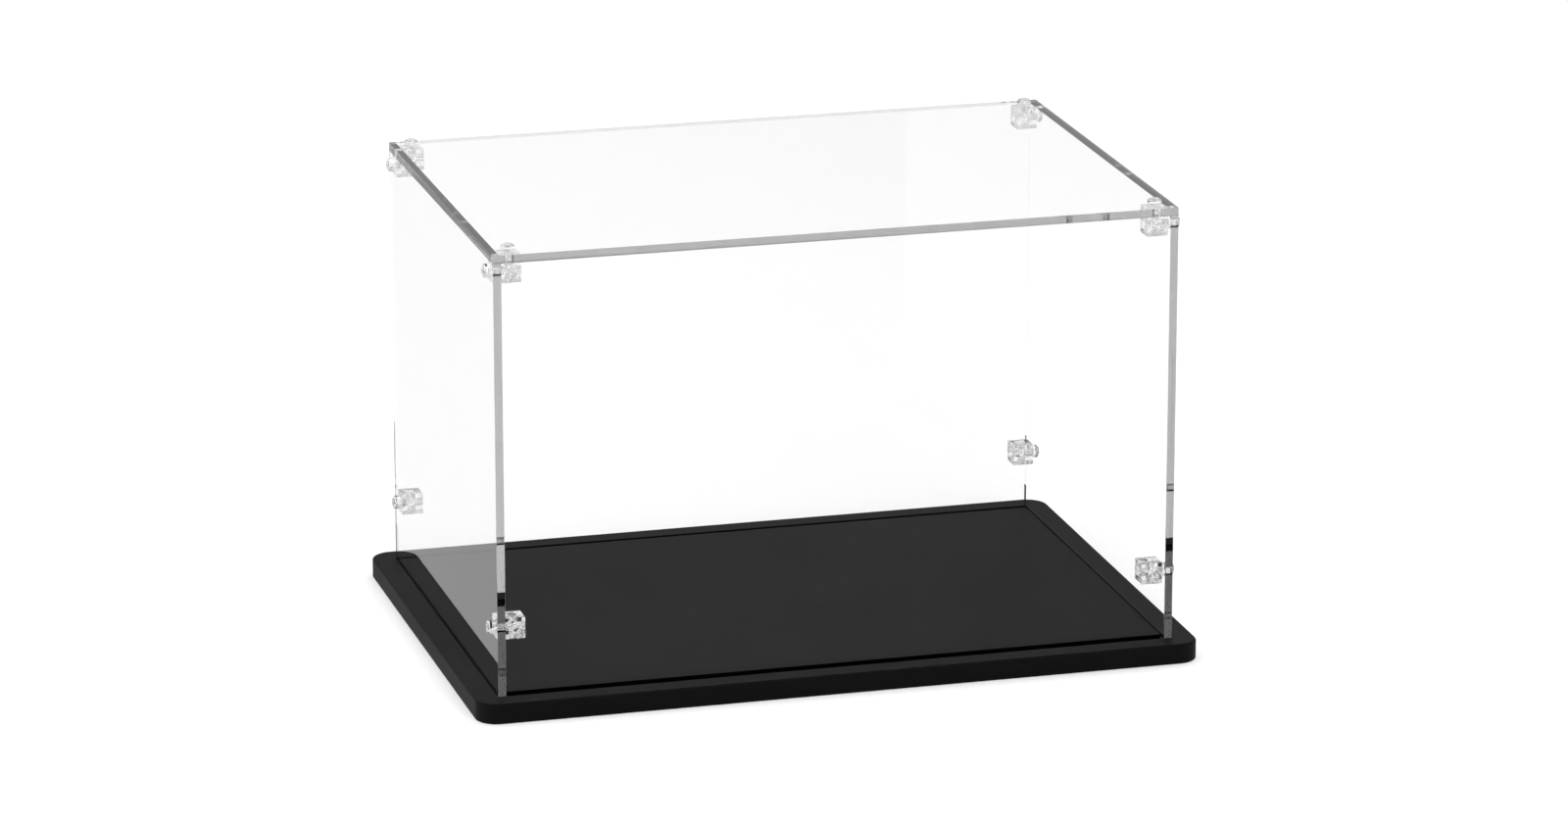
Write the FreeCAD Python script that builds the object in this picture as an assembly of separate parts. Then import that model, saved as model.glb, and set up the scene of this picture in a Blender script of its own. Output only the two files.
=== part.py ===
import FreeCAD, Part
import os

# Football display case: a clear five-panel cover stands in a groove round the slightly
# raised floor of a black base. Eight clear corner blocks, all the same part with three
# crossing threaded bores, hold the panels together with twenty clear pan-head screws.
# Millimetres, +Z up, front faces -Y. The origin is the centre of the base's underside.

# ---- driving dimensions ----
COVER_WIDTH = 340.0        # outside of the cover along X
COVER_DEPTH = 229.0        # outside of the cover along Y
COVER_HEIGHT = 218.4       # from the rim to the top of the cover
PANEL_THICKNESS = 4.0
PANEL_CHAMFER = 0.12       # broken edges of each cut panel
AIR_GAP = 0.05             # between pieces that stand or are screwed face to face

RIM_WIDTH = 11.8           # base left showing outside the cover, all round
SLAB_HEIGHT = 10.2
SLAB_CORNER_RADIUS = 11.0
SLAB_TOP_FILLET = 1.2
SLAB_BOTTOM_FILLET = 0.8
GROOVE_DEPTH = 2.0         # below the rim
GROOVE_CLEARANCE = 0.3     # between the groove's walls and each face of a panel
GROOVE_CORNER_RADIUS = 0.8
GROOVE_EDGE_FILLET = 0.25
FLOOR_RISE = 0.55          # the floor inside the groove stands this far above the rim

BLOCK_SIZE = 10.6
BLOCK_CHAMFER = 0.15
BORE_RADIUS = 1.95         # crest of the thread in a block's bore
BORE_ROOT_RADIUS = 2.2
CROSSING_REACH = 2.6       # the bores are plain this far from the block's centre
LOW_BLOCK_CENTRE = 32.4    # centre of a low block above the rim

SCREW_RADIUS = 1.9         # crest of the thread
SCREW_ROOT_RADIUS = 1.6
SCREW_PITCH = 0.7
SCREW_REACH = 3.05         # how far a screw goes into its block, short of the crossing
HEAD_RADIUS = 3.4
HEAD_HEIGHT = 3.0
HEAD_EDGE_FILLET = 0.9
RECESS_LENGTH = 3.4        # cross recess in the head
RECESS_WIDTH = 0.9
RECESS_DEPTH = 1.3
PANEL_HOLE_RADIUS = 2.1

# ---- worked out from them ----
RIM_Z = SLAB_HEIGHT
TOP_Z = RIM_Z + COVER_HEIGHT
UNDER_TOP_Z = TOP_Z - PANEL_THICKNESS
GROOVE_Z = RIM_Z - GROOVE_DEPTH
FLOOR_Z = RIM_Z + FLOOR_RISE
WALL_BOTTOM_Z = GROOVE_Z + AIR_GAP
WALL_HEIGHT = UNDER_TOP_Z - AIR_GAP - WALL_BOTTOM_Z
INSIDE_WIDTH = COVER_WIDTH - 2 * PANEL_THICKNESS
INSIDE_DEPTH = COVER_DEPTH - 2 * PANEL_THICKNESS
BLOCK_X = INSIDE_WIDTH / 2 - AIR_GAP - BLOCK_SIZE / 2
BLOCK_Y = INSIDE_DEPTH / 2 - AIR_GAP - BLOCK_SIZE / 2
HIGH_BLOCK_Z = UNDER_TOP_Z - AIR_GAP - BLOCK_SIZE / 2
LOW_BLOCK_Z = RIM_Z + LOW_BLOCK_CENTRE

X_SIDES = {"left": -1, "right": 1}
Y_SIDES = {"front": -1, "back": 1}
LEVELS = {"high": HIGH_BLOCK_Z, "low": LOW_BLOCK_Z}

X_AXIS = FreeCAD.Vector(1, 0, 0)
Y_AXIS = FreeCAD.Vector(0, 1, 0)
Z_AXIS = FreeCAD.Vector(0, 0, 1)


def centred_box(width, depth, height, centre_x, centre_y, bottom_z):
    """A box given by its plan centre and its bottom."""
    corner = FreeCAD.Vector(centre_x - width / 2, centre_y - depth / 2, bottom_z)
    return Part.makeBox(width, depth, height, corner)


def upright_edges(shape):
    """The edges that run along Z over the whole height of the shape."""
    box = shape.BoundBox
    return [e for e in shape.Edges if abs(e.BoundBox.ZLength - box.ZLength) < 1e-6]


def edges_at_height(shape, height):
    """The edges that lie flat at one height."""
    return [e for e in shape.Edges
            if abs(e.BoundBox.ZMin - height) < 1e-6 and abs(e.BoundBox.ZMax - height) < 1e-6]


def through_hole(point, axis):
    """A cutter for one screw hole, centred on a panel's outer face."""
    start = point - axis * (2 * PANEL_THICKNESS)
    return Part.makeCylinder(PANEL_HOLE_RADIUS, 4 * PANEL_THICKNESS, start, axis)


def rounded_slab(width, depth, bottom_z, top_z, corner_radius):
    """A plate with rounded corners in plan."""
    plate = centred_box(width, depth, top_z - bottom_z, 0, 0, bottom_z)
    return plate.makeFillet(corner_radius, upright_edges(plate))


def make_base():
    """The black base in one piece: a rounded slab, the groove, and the raised floor inside it."""
    slab = rounded_slab(COVER_WIDTH + 2 * RIM_WIDTH, COVER_DEPTH + 2 * RIM_WIDTH,
                        0, RIM_Z, SLAB_CORNER_RADIUS)
    slab = slab.makeFillet(SLAB_TOP_FILLET, edges_at_height(slab, RIM_Z))
    slab = slab.makeFillet(SLAB_BOTTOM_FILLET, edges_at_height(slab, 0))
    pocket = rounded_slab(COVER_WIDTH + 2 * GROOVE_CLEARANCE, COVER_DEPTH + 2 * GROOVE_CLEARANCE,
                          GROOVE_Z, TOP_Z, GROOVE_CORNER_RADIUS)
    slab = slab.cut(pocket)
    mouth = [e for e in edges_at_height(slab, RIM_Z) if inside_rim(e)]
    slab = slab.makeFillet(GROOVE_EDGE_FILLET, mouth)
    floor = rounded_slab(INSIDE_WIDTH - 2 * GROOVE_CLEARANCE, INSIDE_DEPTH - 2 * GROOVE_CLEARANCE,
                         GROOVE_Z / 2, FLOOR_Z, GROOVE_CORNER_RADIUS)
    floor = floor.makeFillet(GROOVE_EDGE_FILLET, edges_at_height(floor, FLOOR_Z))
    return slab.fuse(floor).removeSplitter()


def inside_rim(edge):
    """True for an edge at the groove's outer wall, and not at the slab's own outline."""
    middle = edge.CenterOfMass
    return (abs(middle.x) < COVER_WIDTH / 2 + RIM_WIDTH / 2
            and abs(middle.y) < COVER_DEPTH / 2 + RIM_WIDTH / 2)


def make_panel(width, depth, height, centre_x, centre_y, bottom_z, holes):
    """One flat panel with broken edges and its screw holes."""
    panel = centred_box(width, depth, height, centre_x, centre_y, bottom_z)
    panel = panel.makeChamfer(PANEL_CHAMFER, panel.Edges)
    return panel.cut(Part.makeCompound(holes))


def make_top_panel():
    """The top panel covers the edges of the four walls."""
    holes = [through_hole(FreeCAD.Vector(sx * BLOCK_X, sy * BLOCK_Y, TOP_Z), Z_AXIS)
             for sx in X_SIDES.values() for sy in Y_SIDES.values()]
    return make_panel(COVER_WIDTH, COVER_DEPTH, PANEL_THICKNESS, 0, 0, UNDER_TOP_Z, holes)


def make_side_panel(sx):
    """A left or right wall, which runs the full depth of the cover."""
    holes = [through_hole(FreeCAD.Vector(sx * COVER_WIDTH / 2, sy * BLOCK_Y, z), X_AXIS)
             for sy in Y_SIDES.values() for z in LEVELS.values()]
    centre_x = sx * (COVER_WIDTH - PANEL_THICKNESS) / 2
    return make_panel(PANEL_THICKNESS, COVER_DEPTH, WALL_HEIGHT, centre_x, 0, WALL_BOTTOM_Z, holes)


def make_face_panel(sy):
    """The front or back wall, which fits between the side walls."""
    holes = [through_hole(FreeCAD.Vector(sx * BLOCK_X, sy * COVER_DEPTH / 2, z), Y_AXIS)
             for sx in X_SIDES.values() for z in LEVELS.values()]
    centre_y = sy * (COVER_DEPTH - PANEL_THICKNESS) / 2
    width = INSIDE_WIDTH - 2 * AIR_GAP
    return make_panel(width, PANEL_THICKNESS, WALL_HEIGHT, 0, centre_y, WALL_BOTTOM_Z, holes)


def make_bore():
    """A cutter for a bore along Z, threaded but for the stretch where the bores cross."""
    turns = int(BLOCK_SIZE / SCREW_PITCH) + 1
    start = -turns * SCREW_PITCH / 2
    points = [(0, start), (BORE_RADIUS, start)]
    for turn in range(turns):
        root = start + (turn + 0.5) * SCREW_PITCH
        if abs(root) > CROSSING_REACH:
            points.append((BORE_ROOT_RADIUS, root))
            points.append((BORE_RADIUS, root + SCREW_PITCH / 2))
        elif abs(root + SCREW_PITCH) > CROSSING_REACH:
            points.append((BORE_RADIUS, root + SCREW_PITCH / 2))
    points.append((0, -start))
    outline = [FreeCAD.Vector(x, 0, z) for x, z in points]
    face = Part.Face(Part.makePolygon(outline + outline[:1]))
    return face.revolve(FreeCAD.Vector(0, 0, 0), Z_AXIS, 360)


def make_block():
    """A cube-shaped corner block on the origin, with a bore through it along each axis."""
    block = centred_box(BLOCK_SIZE, BLOCK_SIZE, BLOCK_SIZE, 0, 0, -BLOCK_SIZE / 2)
    block = block.makeChamfer(BLOCK_CHAMFER, block.Edges)
    for axis in (X_AXIS, Y_AXIS, Z_AXIS):
        bore = make_bore()
        bore.Placement = FreeCAD.Placement(FreeCAD.Vector(0, 0, 0), FreeCAD.Rotation(Z_AXIS, axis))
        block = block.cut(bore)
    return block


def screw_outline():
    """Half of the screw's section in the XZ plane: head above z = 0, thread below."""
    points = [(0, HEAD_HEIGHT), (HEAD_RADIUS - HEAD_EDGE_FILLET, HEAD_HEIGHT),
              (HEAD_RADIUS, HEAD_HEIGHT - HEAD_EDGE_FILLET), (HEAD_RADIUS, 0)]
    tip = -(PANEL_THICKNESS + SCREW_REACH)
    turns = int(-tip / SCREW_PITCH)
    for turn in range(turns):
        crest = -turn * SCREW_PITCH
        points.append((SCREW_RADIUS, crest))
        points.append((SCREW_ROOT_RADIUS, crest - SCREW_PITCH / 2))
    points.append((SCREW_RADIUS, -turns * SCREW_PITCH))
    points.append((SCREW_ROOT_RADIUS, tip))
    points.append((0, tip))
    return [FreeCAD.Vector(x, 0, z) for x, z in points]


def make_upright_screw():
    """A pan-head screw on the Z axis, the underside of its head at z = 0."""
    outline = screw_outline()
    face = Part.Face(Part.makePolygon(outline + outline[:1]))
    screw = face.revolve(FreeCAD.Vector(0, 0, 0), Z_AXIS, 360)
    top_edges = [e for e in edges_at_height(screw, HEAD_HEIGHT) if e.Length > HEAD_RADIUS]
    screw = screw.makeFillet(HEAD_EDGE_FILLET / 3, top_edges)
    recess_z = HEAD_HEIGHT - RECESS_DEPTH
    for width, depth in ((RECESS_LENGTH, RECESS_WIDTH), (RECESS_WIDTH, RECESS_LENGTH)):
        screw = screw.cut(centred_box(width, depth, RECESS_DEPTH * 2, 0, 0, recess_z))
    return screw


def place_screw(upright, seat, outward):
    """Put a screw with its head on the seat, looking outward."""
    screw = upright.copy()
    screw.Placement = FreeCAD.Placement(seat + outward * AIR_GAP, FreeCAD.Rotation(Z_AXIS, outward))
    return screw


def make_blocks():
    """All eight corner blocks by name, each a copy of the same part."""
    blocks = {}
    block = make_block()
    for level, z in LEVELS.items():
        for y_side, sy in Y_SIDES.items():
            for x_side, sx in X_SIDES.items():
                name = f"corner_block_{level}_{y_side}_{x_side}"
                blocks[name] = block.translated(FreeCAD.Vector(sx * BLOCK_X, sy * BLOCK_Y, z))
    return blocks


def make_screws():
    """All twenty screws by name: four down through the top and sixteen through the walls."""
    upright = make_upright_screw()
    screws = {}
    for y_side, sy in Y_SIDES.items():
        for x_side, sx in X_SIDES.items():
            seat = FreeCAD.Vector(sx * BLOCK_X, sy * BLOCK_Y, TOP_Z)
            screws[f"top_screw_{y_side}_{x_side}"] = place_screw(upright, seat, Z_AXIS)
            for level, z in LEVELS.items():
                corner = f"{level}_{y_side}_{x_side}"
                side_seat = FreeCAD.Vector(sx * COVER_WIDTH / 2, sy * BLOCK_Y, z)
                screws[f"side_screw_{corner}"] = place_screw(upright, side_seat, X_AXIS * sx)
                face_seat = FreeCAD.Vector(sx * BLOCK_X, sy * COVER_DEPTH / 2, z)
                screws[f"face_screw_{corner}"] = place_screw(upright, face_seat, Y_AXIS * sy)
    return screws


def make_parts():
    """Every piece of the display case by name."""
    parts = {"base": make_base(), "top_panel": make_top_panel()}
    for x_side, sx in X_SIDES.items():
        parts[f"{x_side}_panel"] = make_side_panel(sx)
    for y_side, sy in Y_SIDES.items():
        parts[f"{y_side}_panel"] = make_face_panel(sy)
    parts.update(make_blocks())
    parts.update(make_screws())
    return parts


os.makedirs("parts", exist_ok=True)
for node, shape in make_parts().items():
    shape.exportStep(f"parts/{node}.step")
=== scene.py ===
import math

import bpy
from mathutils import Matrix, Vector


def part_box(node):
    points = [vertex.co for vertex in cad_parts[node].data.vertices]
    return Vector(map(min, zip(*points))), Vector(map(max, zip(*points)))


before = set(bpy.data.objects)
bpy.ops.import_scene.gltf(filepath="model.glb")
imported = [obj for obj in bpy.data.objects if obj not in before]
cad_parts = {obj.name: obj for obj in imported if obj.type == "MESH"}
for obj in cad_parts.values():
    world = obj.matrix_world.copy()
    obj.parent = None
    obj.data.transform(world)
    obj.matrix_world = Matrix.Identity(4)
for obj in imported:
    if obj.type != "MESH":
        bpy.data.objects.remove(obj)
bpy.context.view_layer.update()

# ---- camera ----
CAMERA_AZIMUTH = -15.51          # degrees; negative stands to the left of the front
CAMERA_ELEVATION = 16.34
CAMERA_DISTANCE = 3.384          # metres from the aim to the lens
CAMERA_LENS = 155.0              # mm
SENSOR_WIDTH = 36                # mm
NEAR_CLIP = 0.1                  # metres
FAR_CLIP = 100
AIM_RIGHT = 0.0037               # the aim's offset from the middle of the case's floor
AIM_UP = 0.0918

# ---- clear plastic ----
ACRYLIC_IOR = 1.49
TOTAL_REFLECTION = 0.98          # Fresnel share above which no light leaves the sheet
SHEET_TINT = (0.995, 0.995, 0.995)
SHEET_DENSITY = 3.6              # absorption per metre of sheet
SAWN_DEPTH = 0.00015             # metres above the bottom of a wall
SAWN_TONE = 0.36                  # share of light that the sawn bottom edge gives back
PANE_TINT = (0.99, 0.99, 0.99)
MOULDED_TINT = (0.99, 0.99, 0.99)
MOULDED_DENSITY = 4.0            # absorption per metre of block or screw
SHADOW_TINT = 0.965              # share of light from lamps and floor that each face passes

# ---- black base ----
BASE_DARK = 0.0051
BASE_LIGHT = 0.0060
BASE_SPECULAR = 0.04
BASE_ROUGHNESS = (0.46, 0.54)
CLOUD_SCALE = 14                 # slow variation in tone and gloss
CLOUD_DETAIL = 4
GRAIN_SCALE = 2600               # fine moulded grain
GRAIN_DETAIL = 3
GRAIN_STRENGTH = 0.12
GRAIN_HEIGHT = 0.0001            # metres
# painted shade: near-black colour painted into the groove and onto the raised floor's edge beside
# it
GROOVE_PAINTED_SHADE_COLOUR = (0.0001, 0.0001, 0.0001)
PAINTED_EDGE_HIGHLIGHT = 0.03                 # painted highlight: how much lighter the colour is painted along the mouth of the groove beside the case
GROOVE_CLEARANCE = 0.0003        # metres between a panel and the groove's walls
EDGE_FILLET = 0.00025            # metres, on the groove's mouth
GROOVE_EDGE = 0.0001             # metres, the slack of the masks
GROOVE_STEP = 0.00085            # metres below the case's floor, just under the rim's edge

# ---- studio ----
FLOOR_COLOUR = (0.93, 0.93, 0.93)
FLOOR_ROUGHNESS = 0.9
FLOOR_WIDTH = 60                 # metres
WALL_LIGHT = 0.78                # brightness of the studio's walls
FRONT_SHARE = 0.08               # share of that brightness straight in front of the case
FRONT_END = -0.75                # the Y of a direction where the dark front is darkest
FRONT_START = -0.05              # and where it begins
LAMPS = {                        # place, size, power and aim, in metres and watts
    "left_softbox": ((-4.2, 0.8, 2.2), 3.4, 258, (0, 0, 0.1)),
    "front_fill": ((1.2, -4.0, 0.5), 1.5, 125, (0, 0, 0)),
    "overhead_softbox": ((0.6, 0.6, 3.0), 3.0, 20, (0.2, 0, 0)),
}
CLEAR_BOUNCES = 48               # light runs a long way along inside a sheet
DIFFUSE_BOUNCES = 4
TRANSPARENT_BOUNCES = 32


def new_material(name):
    """An empty node material and its output node."""
    material = bpy.data.materials.new(name)
    material.use_nodes = True
    nodes = material.node_tree.nodes
    nodes.clear()
    return material, nodes, material.node_tree.links, nodes.new("ShaderNodeOutputMaterial")


def math_node(nodes, links, operation, first, second=None):
    """One Math node; each input is a number or another node's output."""
    node = nodes.new("ShaderNodeMath")
    node.operation = operation
    for socket, value in zip(node.inputs, (first, second)):
        if isinstance(value, (int, float)):
            socket.default_value = value
        elif value is not None:
            links.new(value, socket)
    return node.outputs["Value"]


def cut_edge_tone(nodes, links):
    """White, but grey on the sawn bottom edge of each wall, which gives back less light."""
    place = nodes.new("ShaderNodeTexCoord")
    split = nodes.new("ShaderNodeSeparateXYZ")
    links.new(place.outputs["Object"], split.inputs["Vector"])
    sawn_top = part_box("left_panel")[0].z + SAWN_DEPTH
    sawn = math_node(nodes, links, "LESS_THAN", split.outputs["Z"], sawn_top)
    loss = math_node(nodes, links, "MULTIPLY", sawn, 1 - SAWN_TONE)
    return math_node(nodes, links, "SUBTRACT", 1, loss)


def sheet_glass(nodes, links):
    """A polished sheet: it mirrors at the first face that is met and where light can't leave it."""
    path = nodes.new("ShaderNodeLightPath")
    through = nodes.new("ShaderNodeBsdfRefraction")
    through.inputs["Color"].default_value = (*SHEET_TINT, 1)
    through.inputs["Roughness"].default_value = 0
    through.inputs["IOR"].default_value = ACRYLIC_IOR
    mirror = nodes.new("ShaderNodeBsdfAnisotropic")
    mirror.inputs["Roughness"].default_value = 0
    links.new(cut_edge_tone(nodes, links), mirror.inputs["Color"])
    fresnel = nodes.new("ShaderNodeFresnel")
    fresnel.inputs["IOR"].default_value = ACRYLIC_IOR
    passed = math_node(nodes, links, "ADD", path.outputs["Transmission Depth"],
                       path.outputs["Transparent Depth"])
    first = math_node(nodes, links, "LESS_THAN", passed, 0.5)
    total = math_node(nodes, links, "GREATER_THAN", fresnel.outputs["Fac"], TOTAL_REFLECTION)
    either = math_node(nodes, links, "MAXIMUM", first, total)
    share = math_node(nodes, links, "MULTIPLY", fresnel.outputs["Fac"], either)
    clear = nodes.new("ShaderNodeMixShader")
    links.new(share, clear.inputs["Fac"])
    links.new(through.outputs["BSDF"], clear.inputs[1])
    links.new(mirror.outputs["BSDF"], clear.inputs[2])
    return clear.outputs["Shader"]


def pane_glass(nodes, links):
    """A large flat face seen as a thin pane: it tints, and mirrors on its outer side."""
    through = nodes.new("ShaderNodeBsdfTransparent")
    through.inputs["Color"].default_value = (*PANE_TINT, 1)
    mirror = nodes.new("ShaderNodeBsdfAnisotropic")
    mirror.inputs["Roughness"].default_value = 0
    mirror.inputs["Color"].default_value = (1, 1, 1, 1)
    fresnel = nodes.new("ShaderNodeFresnel")
    fresnel.inputs["IOR"].default_value = ACRYLIC_IOR
    shape = nodes.new("ShaderNodeNewGeometry")
    outside = math_node(nodes, links, "SUBTRACT", 1, shape.outputs["Backfacing"])
    clear = nodes.new("ShaderNodeMixShader")
    share = math_node(nodes, links, "MULTIPLY", fresnel.outputs["Fac"], outside)
    links.new(share, clear.inputs["Fac"])
    links.new(through.outputs["BSDF"], clear.inputs[1])
    links.new(mirror.outputs["BSDF"], clear.inputs[2])
    return clear.outputs["Shader"]


def moulded_glass(nodes, links):
    """A small moulded piece: plain glass, with all its inner reflections."""
    glass = nodes.new("ShaderNodeBsdfGlass")
    glass.inputs["Color"].default_value = (*MOULDED_TINT, 1)
    glass.inputs["Roughness"].default_value = 0
    glass.inputs["IOR"].default_value = ACRYLIC_IOR
    return glass.outputs["BSDF"]


def clear_material(name, make_glass, density):
    """Clear plastic that lets lamp light and bounced light straight through."""
    material, nodes, links, output = new_material(name)
    path = nodes.new("ShaderNodeLightPath")
    clear = make_glass(nodes, links)
    open_way = nodes.new("ShaderNodeBsdfTransparent")
    open_way.inputs["Color"].default_value = (SHADOW_TINT, SHADOW_TINT, SHADOW_TINT, 1)
    light = math_node(nodes, links, "MAXIMUM", path.outputs["Is Shadow Ray"],
                      path.outputs["Is Diffuse Ray"])
    mix = nodes.new("ShaderNodeMixShader")
    links.new(light, mix.inputs["Fac"])
    links.new(clear, mix.inputs[1])
    links.new(open_way.outputs["BSDF"], mix.inputs[2])
    links.new(mix.outputs["Shader"], output.inputs["Surface"])
    depth = nodes.new("ShaderNodeVolumeAbsorption")
    depth.inputs["Color"].default_value = (0, 0, 0, 1)
    depth.inputs["Density"].default_value = density
    links.new(depth.outputs["Volume"], output.inputs["Volume"])
    return material


def past_sides(nodes, links, split, half_x, half_y):
    """How far a point lies past each side of a rectangle centred on the base, in plan."""
    across = math_node(nodes, links, "ABSOLUTE", split.outputs["X"])
    along = math_node(nodes, links, "ABSOLUTE", split.outputs["Y"])
    past_x = math_node(nodes, links, "SUBTRACT", across, half_x)
    past_y = math_node(nodes, links, "SUBTRACT", along, half_y)
    return past_x, past_y


def groove_painted_shade_and_highlight_masks(nodes, links, place):
    """Two masks: painted shade inside the groove, and a painted highlight along its outer mouth
    beside the case.
    """
    wall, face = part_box("left_panel"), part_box("front_panel")
    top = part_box("base")[1].z
    split = nodes.new("ShaderNodeSeparateXYZ")
    links.new(place.outputs["Object"], split.inputs["Vector"])
    inner_x, inner_y = past_sides(nodes, links, split, -wall[1].x - GROOVE_CLEARANCE,
                                  -face[1].y - GROOVE_CLEARANCE)
    outer_x, outer_y = past_sides(nodes, links, split, -wall[0].x + GROOVE_CLEARANCE,
                                  -wall[0].y + GROOVE_CLEARANCE)
    inner = math_node(nodes, links, "MAXIMUM", inner_x, inner_y)
    outer = math_node(nodes, links, "MAXIMUM", outer_x, outer_y)
    # painted shade mask: inside the groove and down the raised floor's edge
    begun = math_node(nodes, links, "GREATER_THAN", inner, -GROOVE_EDGE)
    ended = math_node(nodes, links, "LESS_THAN", outer, GROOVE_EDGE)
    riser = math_node(nodes, links, "LESS_THAN", inner, GROOVE_EDGE)
    low = math_node(nodes, links, "LESS_THAN", split.outputs["Z"], top - GROOVE_EDGE)
    deep = math_node(nodes, links, "LESS_THAN", split.outputs["Z"], top - GROOVE_STEP)
    between = math_node(nodes, links, "MULTIPLY", begun, ended)
    either = math_node(nodes, links, "MAXIMUM", riser, deep)
    dark = math_node(nodes, links, "MULTIPLY", either, low)
    painted_groove_shade = math_node(nodes, links, "MULTIPLY", between, dark)
    # painted highlight mask: the groove's outer mouth on the left and right sides
    beside = math_node(nodes, links, "GREATER_THAN", outer_x, outer_y)
    near = math_node(nodes, links, "COMPARE", outer_x, EDGE_FILLET / 2)
    near.node.inputs[2].default_value = EDGE_FILLET / 2
    shallow = math_node(nodes, links, "SUBTRACT", 1, deep)
    edge = math_node(nodes, links, "MULTIPLY", beside, near)
    return painted_groove_shade, math_node(nodes, links, "MULTIPLY", edge, shallow)


def base_material():
    """Matt black moulded plastic with a fine grain and slight variation in tone and gloss, with
    painted shade in the groove and a painted highlight along its mouth.
    """
    material, nodes, links, output = new_material("black_base_satin")
    surface = nodes.new("ShaderNodeBsdfPrincipled")
    surface.inputs["Specular IOR Level"].default_value = BASE_SPECULAR
    place = nodes.new("ShaderNodeTexCoord")
    cloud = nodes.new("ShaderNodeTexNoise")
    cloud.inputs["Scale"].default_value = CLOUD_SCALE
    cloud.inputs["Detail"].default_value = CLOUD_DETAIL
    links.new(place.outputs["Object"], cloud.inputs["Vector"])
    tone = nodes.new("ShaderNodeMapRange")
    tone.inputs["To Min"].default_value = BASE_DARK
    tone.inputs["To Max"].default_value = BASE_LIGHT
    links.new(cloud.outputs["Fac"], tone.inputs["Value"])
    colour = nodes.new("ShaderNodeMix")
    colour.data_type = "RGBA"
    # painted shade: the groove is painted near-black
    colour.inputs["B"].default_value = (*GROOVE_PAINTED_SHADE_COLOUR, 1)
    painted_groove_shade, painted_highlight = groove_painted_shade_and_highlight_masks(nodes, links, place)
    links.new(painted_groove_shade, colour.inputs["Factor"])
    grey = nodes.new("ShaderNodeCombineColor")
    # painted highlight: a lighter colour painted along the groove's mouth
    lighter = math_node(nodes, links, "MULTIPLY", painted_highlight, PAINTED_EDGE_HIGHLIGHT)
    shade = math_node(nodes, links, "ADD", tone.outputs["Result"], lighter)
    for channel in ("Red", "Green", "Blue"):
        links.new(shade, grey.inputs[channel])
    links.new(grey.outputs["Color"], colour.inputs["A"])
    links.new(colour.outputs["Result"], surface.inputs["Base Color"])
    gloss = nodes.new("ShaderNodeMapRange")
    gloss.inputs["To Min"].default_value = BASE_ROUGHNESS[0]
    gloss.inputs["To Max"].default_value = BASE_ROUGHNESS[1]
    links.new(cloud.outputs["Fac"], gloss.inputs["Value"])
    links.new(gloss.outputs["Result"], surface.inputs["Roughness"])
    grain = nodes.new("ShaderNodeTexNoise")
    grain.inputs["Scale"].default_value = GRAIN_SCALE
    grain.inputs["Detail"].default_value = GRAIN_DETAIL
    links.new(place.outputs["Object"], grain.inputs["Vector"])
    bump = nodes.new("ShaderNodeBump")
    bump.inputs["Strength"].default_value = GRAIN_STRENGTH
    bump.inputs["Distance"].default_value = GRAIN_HEIGHT
    links.new(grain.outputs["Fac"], bump.inputs["Height"])
    links.new(bump.outputs["Normal"], surface.inputs["Normal"])
    links.new(surface.outputs["BSDF"], output.inputs["Surface"])
    return material


def dress(names, material):
    """Put one material on every slot of the named CAD nodes."""
    for name in names:
        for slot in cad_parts[name].material_slots:
            slot.material = material


def nodes_named(word):
    """The names of the CAD nodes that hold this word."""
    return [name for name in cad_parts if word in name]


def make_floor():
    """A wide pale floor under the case."""
    bpy.ops.mesh.primitive_plane_add(size=FLOOR_WIDTH, location=(0, 0, 0))
    floor = bpy.context.object
    floor.name = "floor"
    material, nodes, links, output = new_material("pale_floor")
    surface = nodes.new("ShaderNodeBsdfPrincipled")
    surface.inputs["Base Color"].default_value = (*FLOOR_COLOUR, 1)
    surface.inputs["Roughness"].default_value = FLOOR_ROUGHNESS
    surface.inputs["Specular IOR Level"].default_value = 0
    links.new(surface.outputs["BSDF"], output.inputs["Surface"])
    floor.data.materials.append(material)
    floor.visible_glossy = False


def make_world():
    """Soft light studio walls all round, but darker in front of the case."""
    world = bpy.data.worlds.new("studio")
    bpy.context.scene.world = world
    world.use_nodes = True
    nodes, links = world.node_tree.nodes, world.node_tree.links
    nodes.clear()
    output = nodes.new("ShaderNodeOutputWorld")
    background = nodes.new("ShaderNodeBackground")
    links.new(background.outputs["Background"], output.inputs["Surface"])
    place = nodes.new("ShaderNodeTexCoord")
    split = nodes.new("ShaderNodeSeparateXYZ")
    links.new(place.outputs["Generated"], split.inputs["Vector"])
    ramp = nodes.new("ShaderNodeMapRange")
    ramp.inputs["From Min"].default_value = FRONT_END
    ramp.inputs["From Max"].default_value = FRONT_START
    ramp.inputs["To Min"].default_value = FRONT_SHARE * WALL_LIGHT
    ramp.inputs["To Max"].default_value = WALL_LIGHT
    ramp.interpolation_type = "SMOOTHSTEP"
    links.new(split.outputs["Y"], ramp.inputs["Value"])
    links.new(ramp.outputs["Result"], background.inputs["Strength"])
    background.inputs["Color"].default_value = (1, 1, 1, 1)


def make_lamp(name):
    """A soft square lamp from the table above."""
    place, size, power, aim = LAMPS[name]
    lamp = bpy.data.lights.new(name, "AREA")
    lamp.shape = "SQUARE"
    lamp.size = size
    lamp.energy = power
    holder = bpy.data.objects.new(name, lamp)
    bpy.context.collection.objects.link(holder)
    holder.location = place
    holder.rotation_euler = (Vector(aim) - Vector(place)).to_track_quat("-Z", "Y").to_euler()
    return holder


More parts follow.
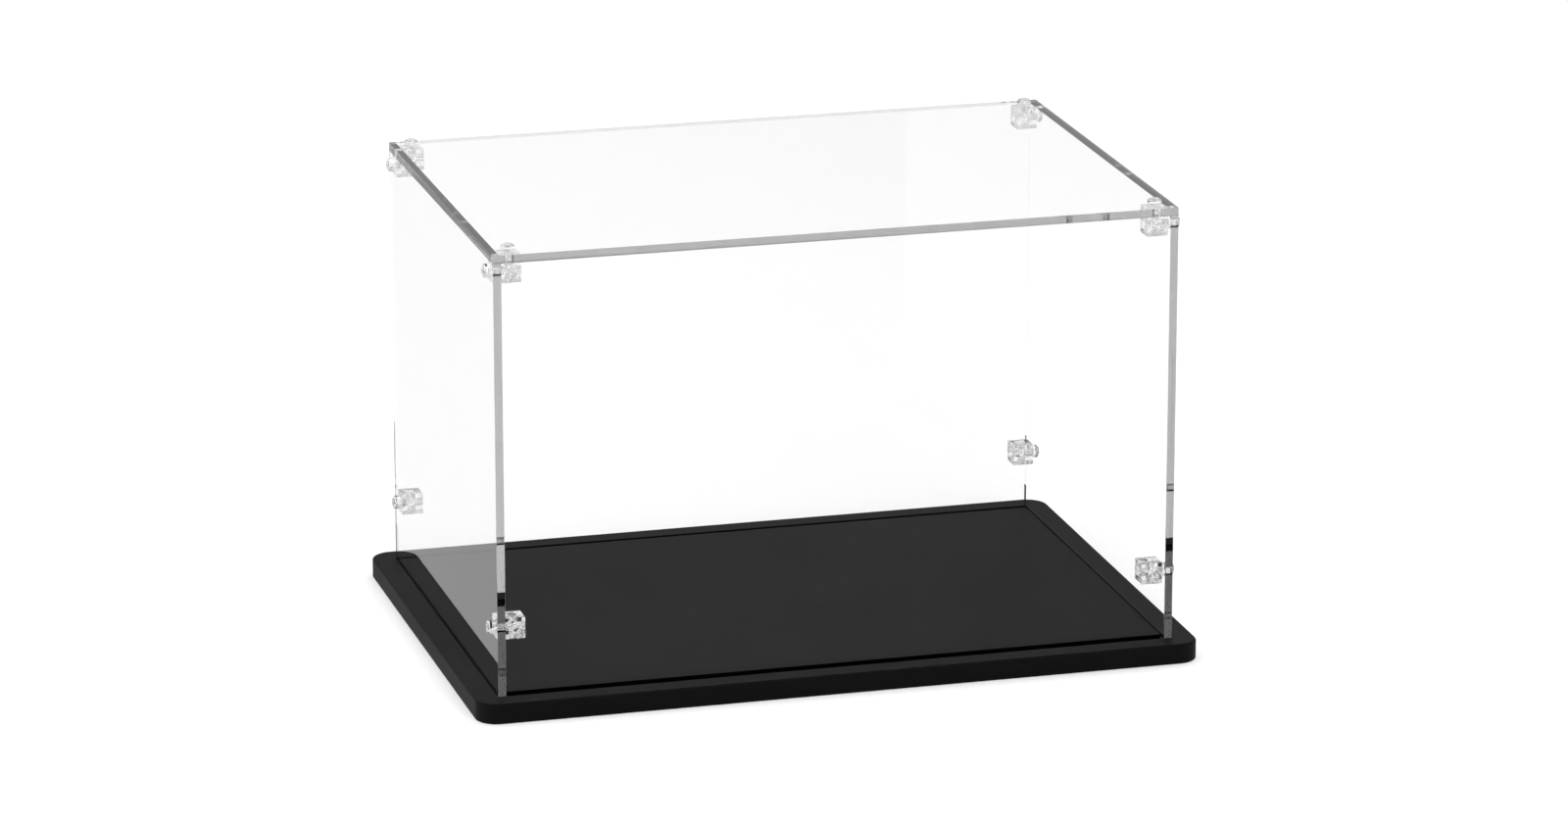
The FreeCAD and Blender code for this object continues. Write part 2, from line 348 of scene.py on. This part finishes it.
def make_camera():
    """A long lens at the viewing angle of the front left."""
    azimuth, elevation = math.radians(CAMERA_AZIMUTH), math.radians(CAMERA_ELEVATION)
    back = Vector((math.sin(azimuth) * math.cos(elevation),
                   -math.cos(azimuth) * math.cos(elevation),
                   math.sin(elevation)))
    right = Vector((math.cos(azimuth), math.sin(azimuth), 0))
    up = back.cross(right)
    floor_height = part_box("base")[1].z
    aim = Vector((0, 0, floor_height)) + right * AIM_RIGHT + up * AIM_UP
    data = bpy.data.cameras.new("camera")
    data.lens = CAMERA_LENS
    data.sensor_width = SENSOR_WIDTH
    data.clip_start = NEAR_CLIP
    data.clip_end = FAR_CLIP
    camera = bpy.data.objects.new("camera", data)
    bpy.context.collection.objects.link(camera)
    camera.location = aim + back * CAMERA_DISTANCE
    camera.rotation_euler = back.to_track_quat("Z", "Y").to_euler()
    bpy.context.scene.camera = camera


def set_light_paths():
    """Enough bounces for light to pass through several sheets."""
    cycles = bpy.context.scene.cycles
    cycles.max_bounces = CLEAR_BOUNCES
    cycles.transmission_bounces = CLEAR_BOUNCES
    cycles.glossy_bounces = CLEAR_BOUNCES
    cycles.diffuse_bounces = DIFFUSE_BOUNCES
    cycles.transparent_max_bounces = TRANSPARENT_BOUNCES
    cycles.caustics_reflective = True
    cycles.caustics_refractive = True


dress(["top_panel", "left_panel", "right_panel"],
      clear_material("clear_sheet_acrylic", sheet_glass, SHEET_DENSITY))
dress(["front_panel", "back_panel"],
      clear_material("clear_face_acrylic", pane_glass, SHEET_DENSITY))
dress(nodes_named("corner_block"),
      clear_material("clear_block_plastic", moulded_glass, MOULDED_DENSITY))
dress(nodes_named("_screw"),
      clear_material("clear_screw_plastic", moulded_glass, MOULDED_DENSITY))
dress(["base"], base_material())

make_floor()
make_world()
left_softbox = make_lamp("left_softbox")
left_softbox.data.use_shadow = False
left_softbox.visible_glossy = False
left_softbox.visible_transmission = False
front_fill = make_lamp("front_fill")
front_fill.visible_glossy = False
front_fill.visible_transmission = False
make_lamp("overhead_softbox")
make_camera()
set_light_paths()
bpy.context.scene.view_settings.view_transform = "Standard"
